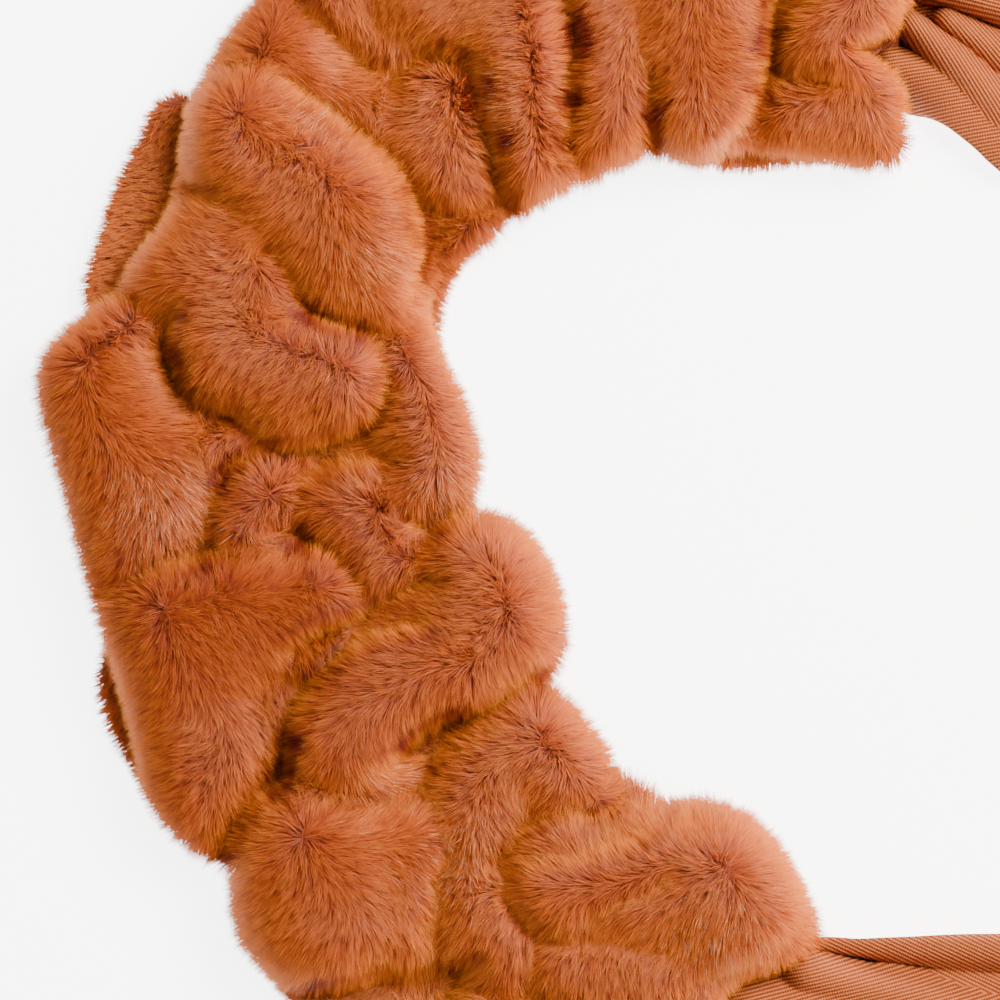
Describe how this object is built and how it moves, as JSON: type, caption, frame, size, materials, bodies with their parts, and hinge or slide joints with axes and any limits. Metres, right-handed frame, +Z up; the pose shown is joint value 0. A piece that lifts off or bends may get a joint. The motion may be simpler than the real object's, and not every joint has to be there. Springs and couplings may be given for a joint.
{
  "type": "fur collar wrap",
  "caption": "Gathered fur collar wrap laid flat in an open ring, with a wide pleated twill tie running from each end.",
  "frame": {"origin": "middle of the whole wrap's box, on the surface it lies on", "axes": "+X from the closed side of the ring towards the free ends of the ties, +Z up from the surface"},
  "size_m": [0.6382, 0.4782, 0.042],
  "materials": {
    "fur": "long dense pile fur, rust orange, soft sheen",
    "twill": "bold cotton twill, terracotta, matt"
  },
  "bodies": {
    "root": {"fur_front": "fur", "fur_back": "fur", "tie_top": "twill", "tie_bottom": "twill"}
  },
  "joints": []
}
